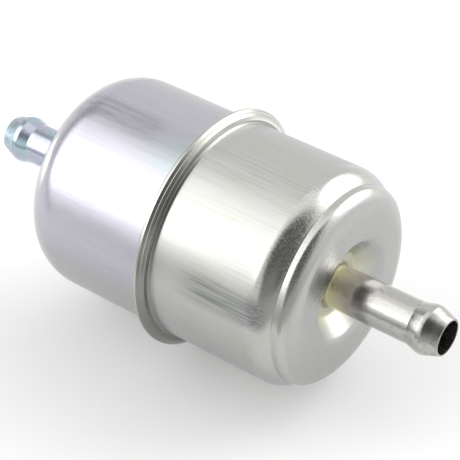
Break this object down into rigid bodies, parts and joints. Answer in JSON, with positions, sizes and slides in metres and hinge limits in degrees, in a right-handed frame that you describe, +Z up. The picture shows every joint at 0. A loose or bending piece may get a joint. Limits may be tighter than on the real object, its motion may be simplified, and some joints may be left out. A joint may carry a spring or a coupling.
{
  "type": "inline fuel filter",
  "caption": "Crimped steel in-line fuel filter: two drawn cups joined at a folded rim, a beaded hose nipple at each end, and a sprung pleated element inside.",
  "frame": {"origin": "on the filter's axis at mid-length, in the plane of the folded rim", "axes": "+X along the axis in the direction of flow, from the plain domed inlet end to the stepped outlet end; +Z up"},
  "size_m": [0.1, 0.0464, 0.0466],
  "materials": {
    "zinc_plated_steel_cool": "bright drawn sheet with a cool zinc plating, satin",
    "zinc_plated_steel_warm": "bright drawn sheet with a warmer zinc plating, satin",
    "plated_tube": "bright plated tube, polished",
    "braze_metal": "braze fillet under thin plating",
    "plain_steel": "tin-plated pressed sheet",
    "spring_steel": "drawn spring wire",
    "gasket_rubber": "flat nitrile gasket",
    "seal_rubber": "moulded fuel-proof rubber",
    "potting_adhesive": "cured amber adhesive",
    "filter_paper": "resin-treated pleated filter paper",
    "strainer_mesh": "fine woven mesh"
  },
  "bodies": {
    "housing": {"inlet_shell": "zinc_plated_steel_cool", "outlet_shell": "zinc_plated_steel_warm", "seam_gasket": "gasket_rubber", "inlet_nipple": "plated_tube", "outlet_nipple": "plated_tube", "inlet_braze_ring": "braze_metal", "outlet_braze_ring": "braze_metal", "spring_seat": "plain_steel"},
    "element": {"element_spring": "spring_steel", "closed_end_cap": "plain_steel", "open_end_cap": "plain_steel", "closed_potting": "potting_adhesive", "open_potting": "potting_adhesive", "pleated_paper": "filter_paper", "paper_seam_clip": "plain_steel", "centre_tube": "plain_steel", "core_strainer": "strainer_mesh", "inlet_pleat_band": "potting_adhesive", "outlet_pleat_band": "potting_adhesive", "element_seal": "seal_rubber"}
  },
  "joints": [
    {"name": "element_slide", "type": "slide", "parent": "housing", "child": "element", "axis": [-1, 0, 0], "range_m": [0, 0.0015], "stiffness_N_per_m": 1200, "springref_m": -0.005, "deforming": ["element_spring"]}
  ]
}
